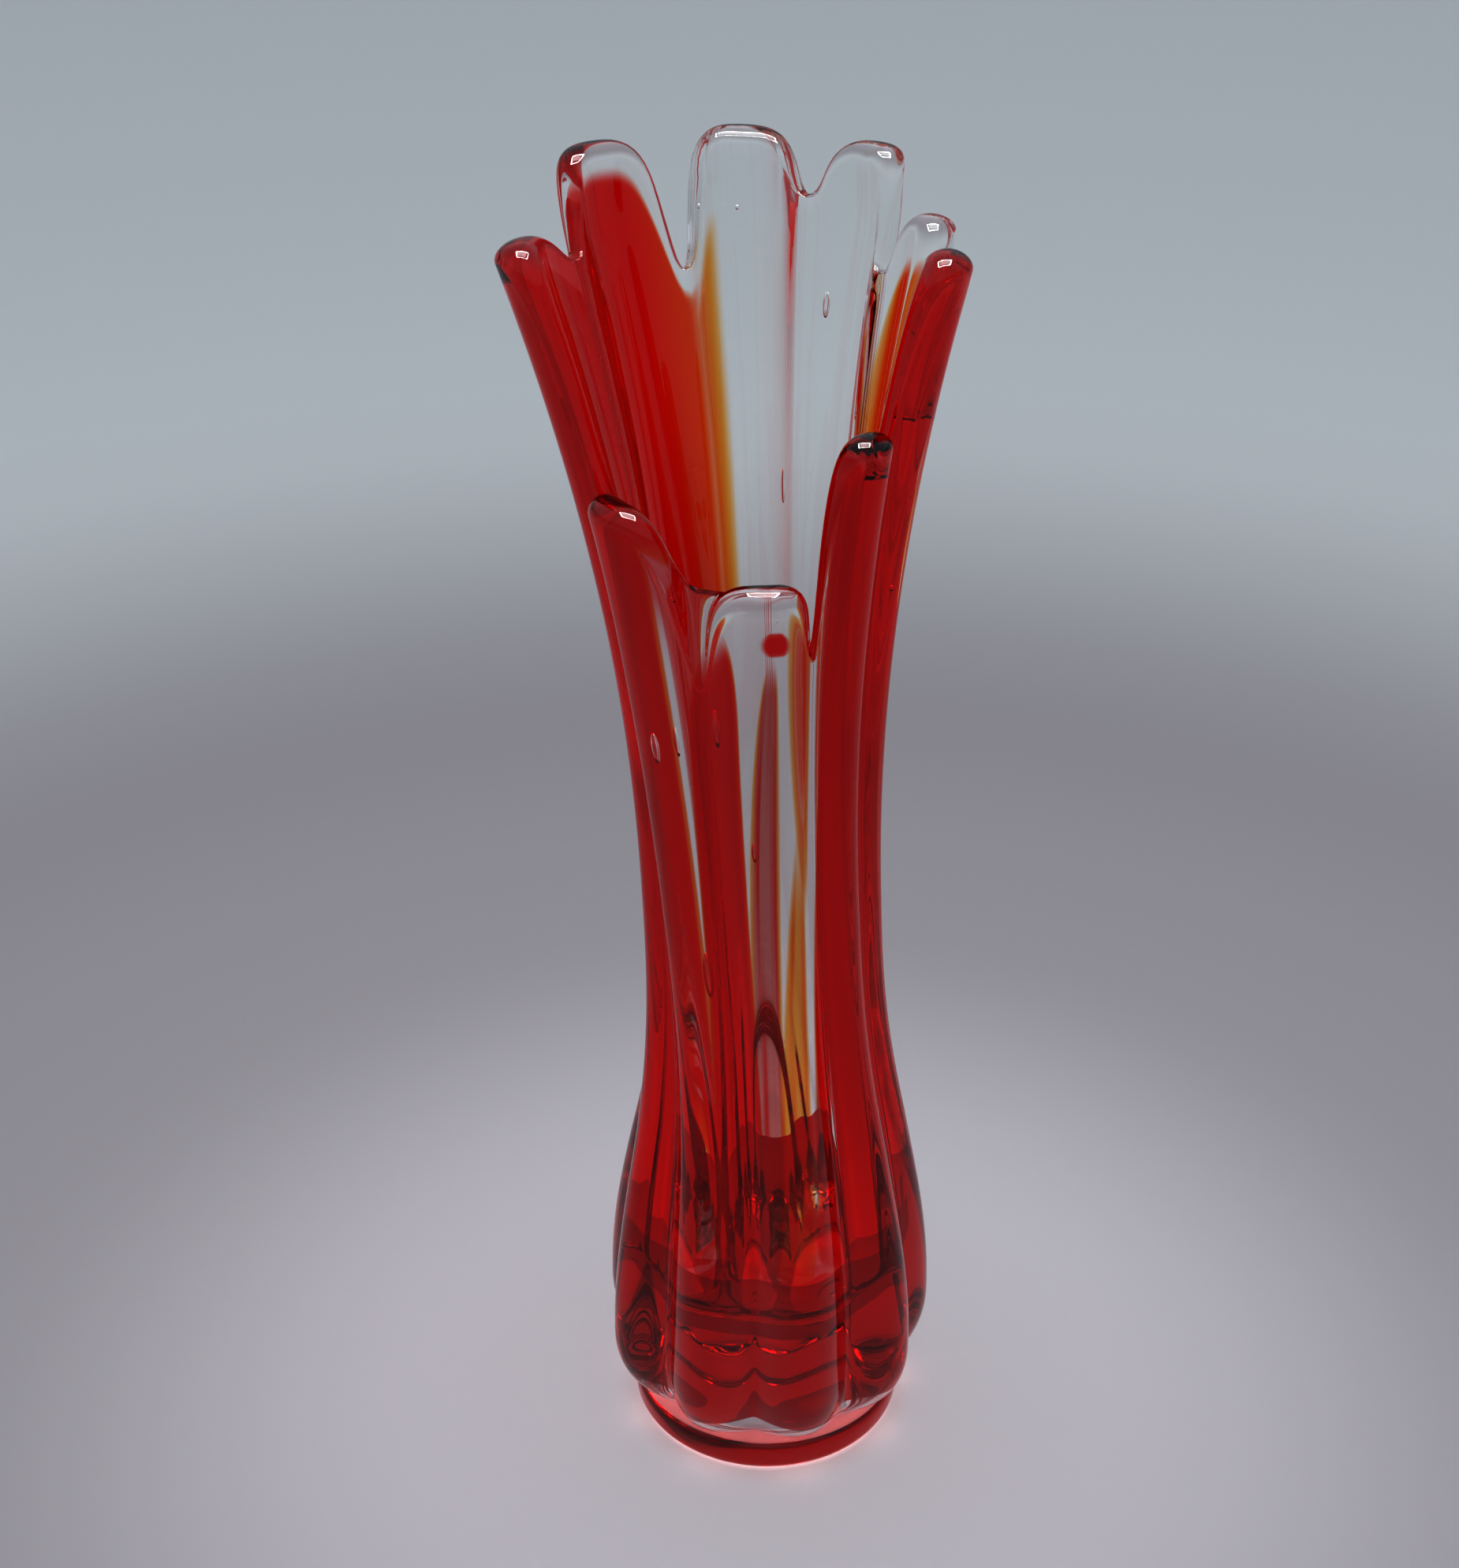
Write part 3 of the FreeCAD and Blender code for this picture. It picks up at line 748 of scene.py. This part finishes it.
class VASE_OT_stripes(bpy.types.Operator):
    """Lay the narrow stripes and the flame of coloured glass"""

    bl_idname = "vase.stripes"
    bl_label = "Stripes"

    def execute(self, context):
        wall = Wall(shape_of(context))
        slots = {
            "ruby_stripe_front": "ruby_glass",
            "pink_stripe_front": "pink_glass",
            "amber_stripe_front": "amber_glass",
            "amber_band_back": "amber_glass",
            "amber_flame_right": "amber_glass",
        }
        for name, slot in slots.items():
            stripe = lay_field(wall, name, *STRIPE_GRID)
            stripe.visible_shadow = False
            dress(stripe, stained_glass(name, context.scene.vase_colours), slot, name)
        return {"FINISHED"}


class VASE_OT_red_bead(bpy.types.Operator):
    """Set the red bead in the tip of the front finger"""

    bl_idname = "vase.red_bead"
    bl_label = "Red bead"

    def execute(self, context):
        bead = lay_field(Wall(shape_of(context)), "red_bead", *BEAD_GRID)
        dress(bead, stained_glass("red_bead", context.scene.vase_colours), "ruby_glass", "red_bead")
        return {"FINISHED"}


# The red glass in the base: how far up the wall it climbs, the depths in the wall that it lies between, its
# underside's height in the middle, the clear glass between it and the floor of the inside, and the rows its
# two skins are laid in.
POOL_RISE = 0.19
POOL_DEPTHS = (0.17, 0.68)
POOL_BOTTOM = 0.0125
POOL_COVER = 0.004
POOL_FLOOR_ROWS = 13
POOL_WALL_ROWS = (13, 5)


class VASE_OT_ruby_pool(bpy.types.Operator):
    """Pool the deep red glass in the base, under the inside"""

    bl_idname = "vase.ruby_pool"
    bl_label = "Ruby pool"

    def skin(self, wall, rib, side, middle, floor_rise):
        """Rings of the outer (0) or inner (1) skin, from its middle out to the wall and up it."""
        depth = POOL_DEPTHS[side]
        shares = np.linspace(0, 1, POOL_FLOOR_ROWS)
        rises = np.linspace(floor_rise, POOL_RISE, POOL_WALL_ROWS[side])[1:]
        rings = [wall.level(share, depth, middle, floor_rise, rib) for share in shares]
        return rings + [wall.at(rib, rise, depth) for rise in rises]

    def execute(self, context):
        shape = shape_of(context)
        wall = Wall(shape)
        rib = np.arange(AROUND // 2) * 2 * RIBS / AROUND
        upper = self.skin(wall, rib, 1, shape.floor_height - POOL_COVER, FLOOR_RISE)
        lower = self.skin(wall, rib, 0, POOL_BOTTOM, POOL_FLOOR_RISE)
        rings = upper + lower[::-1]
        points = np.concatenate(rings)
        around = len(rib)
        faces = ring_faces(len(rings), around)
        faces.append(list(range(around))[::-1])
        faces.append([len(points) - around + i for i in range(around)])
        piece = new_piece("ruby_pool", points, faces, np.full((len(points), 2), 0.5))
        piece.visible_shadow = False
        dress(piece, stained_glass("ruby_pool", context.scene.vase_colours), "ruby_glass", "ruby_pool")
        return {"FINISHED"}


# The cove: its colour under the vase, a painted shadow tinted red that stands in for the vase's shadow and
# the red light cast through its red base, then the distances from the vase over which it turns to each next
# colour, painted rings of shade and light that stand in for how the lamps' light falls off round the stage.
# Its floor is flat out to the last radius and bends up into a wall there.
COVE_PAINTED_SHADOW = (0.36, 0.24, 0.24, 1)
COVE_PAINTED_LIGHT_RINGS = [
    ((0.026, 0.042), (0.36, 0.35, 0.37, 1)),
    ((0.09, 0.24), (0.26, 0.248, 0.262, 1)),
    ((0.38, 0.85), (0.57, 0.59, 0.60, 1)),
]
COVE_RADII = (0.001, 0.05, 0.12, 0.25, 0.5, 0.8)
COVE_BEND = 0.6
COVE_HEIGHT = 0.8
COVE_DROP = 0.0001
COVE_SIDES = 96

# Lamps, which all shine straight down: name, place, width, depth and power. Four strips make a frame under
# the panel.
LAMPS = [
    ("top_panel", (0, 0.05, 1.25), 0.50, 0.36, 3.0),
    ("strip_front", (0, -0.12, 0.80), 0.34, 0.03, 0.75),
    ("strip_back", (0, 0.12, 0.80), 0.34, 0.03, 0.75),
    ("strip_left", (-0.17, 0, 0.80), 0.03, 0.24, 0.75),
    ("strip_right", (0.17, 0, 0.80), 0.03, 0.24, 0.75),
]
SKY_COLOUR = (0.86, 0.92, 1.0, 1)
SKY_STRENGTH = 0.48

CAMERA_PLACE = (-0.010, -0.4946, 0.453)
CAMERA_TILT = 61.6
CAMERA_LENS = 54.3


class VASE_OT_stage(bpy.types.Operator):
    """Set up the camera, the pale cove and the soft studio lights"""

    bl_idname = "vase.stage"
    bl_label = "Stage"

    def cloth(self):
        """The cove's matt cloth, with a painted red-tinted shadow under the vase and painted rings of shade
        and light round it.
        """
        paint = Paint("cove")
        place = paint.node("ShaderNodeTexCoord").outputs["Object"]
        flat = paint.node("ShaderNodeVectorMath", {"operation": "MULTIPLY"}, {0: place, 1: (1, 1, 0)})
        length = paint.node("ShaderNodeVectorMath", {"operation": "LENGTH"}, {0: flat.outputs[0]})
        away = Value(paint, length.outputs["Value"])
        colour = COVE_PAINTED_SHADOW
        # Painted light: from the red-tinted painted shadow under the vase out through darker and lighter
        # painted rings.
        for reach, tint in COVE_PAINTED_LIGHT_RINGS:
            colour = paint.colour(away.smooth(*reach), colour, tint)
        inputs = {"Base Color": colour, "Roughness": 0.85, "Specular IOR Level": 0.2}
        return paint.show(paint.node("ShaderNodeBsdfPrincipled", inputs=inputs).outputs[0])

    def cove(self):
        flat = COVE_RADII[-1]
        profile = [(r, 0) for r in COVE_RADII]
        for turn in np.linspace(0.1, math.pi / 2, 12):
            profile.append((flat + COVE_BEND * math.sin(turn), COVE_BEND - COVE_BEND * math.cos(turn)))
        profile.append((flat + COVE_BEND, COVE_HEIGHT))
        angles = np.linspace(0, 2 * math.pi, COVE_SIDES + 1)[:-1]
        sides, fronts = np.cos(angles), np.sin(angles)
        rings = [np.stack([r * sides, r * fronts, 0 * angles + z - COVE_DROP], axis=-1) for r, z in profile]
        faces = ring_faces(len(rings), COVE_SIDES)
        faces.append(list(range(COVE_SIDES)))
        cove = new_piece("cove", np.concatenate(rings), faces)
        cove.data.materials.append(self.cloth())

    def lamp(self, name, place, width, depth, power):
        light = bpy.data.lights.new(name, "AREA")
        light.shape = "RECTANGLE"
        light.size, light.size_y = width, depth
        light.energy = power
        lamp = bpy.data.objects.new(name, light)
        lamp.location = place
        lamp.visible_camera = False
        bpy.context.collection.objects.link(lamp)

    def sky(self):
        world = bpy.data.worlds.new("studio")
        world.use_nodes = True
        background = world.node_tree.nodes["Background"]
        background.inputs["Color"].default_value = SKY_COLOUR
        background.inputs["Strength"].default_value = SKY_STRENGTH
        return world

    def camera(self, context):
        data = bpy.data.cameras.new("camera")
        data.lens = CAMERA_LENS
        data.clip_start = 0.01
        camera = bpy.data.objects.new("camera", data)
        camera.location = CAMERA_PLACE
        camera.rotation_euler = (math.radians(CAMERA_TILT), 0, 0)
        context.collection.objects.link(camera)
        return camera

    def execute(self, context):
        scene = context.scene
        self.cove()
        for lamp in LAMPS:
            self.lamp(*lamp)
        scene.world = self.sky()
        scene.camera = self.camera(context)
        scene.view_settings.view_transform = "Standard"
        scene.view_settings.look = "High Contrast"
        scene.cycles.max_bounces = 32
        scene.cycles.transmission_bounces = 24
        scene.cycles.glossy_bounces = 12
        scene.cycles.transparent_max_bounces = 48
        scene.cycles.sample_clamp_indirect = 8.0
        return {"FINISHED"}


class VASE_PT_panel(bpy.types.Panel):
    """The vase's steps and sizes"""

    bl_idname = "VASE_PT_panel"
    bl_label = "Art glass vase"
    bl_space_type = "VIEW_3D"
    bl_region_type = "UI"
    bl_category = "Vase"

    def draw(self, context):
        for step in STEPS:
            self.layout.operator(step.bl_idname)
        for name in VaseShape.__annotations__:
            self.layout.prop(context.scene.vase_shape, name)
        for name in VaseColours.__annotations__:
            self.layout.prop(context.scene.vase_colours, name)


STEPS = (
    VASE_OT_stage,
    VASE_OT_clear_glass,
    VASE_OT_ruby_pool,
    VASE_OT_ruby_fields,
    VASE_OT_stripes,
    VASE_OT_red_bead,
)
CLASSES = (VaseShape, VaseColours, *STEPS, VASE_PT_panel)


def register():
    for cls in CLASSES:
        bpy.utils.register_class(cls)
    bpy.types.Scene.vase_shape = PointerProperty(type=VaseShape)
    bpy.types.Scene.vase_colours = PointerProperty(type=VaseColours)


def unregister():
    del bpy.types.Scene.vase_colours
    del bpy.types.Scene.vase_shape
    for cls in reversed(CLASSES):
        bpy.utils.unregister_class(cls)


def main():
    register()
    for step in STEPS:
        group, name = step.bl_idname.split(".")
        getattr(getattr(bpy.ops, group), name)()


if __name__ == "__main__":
    main()
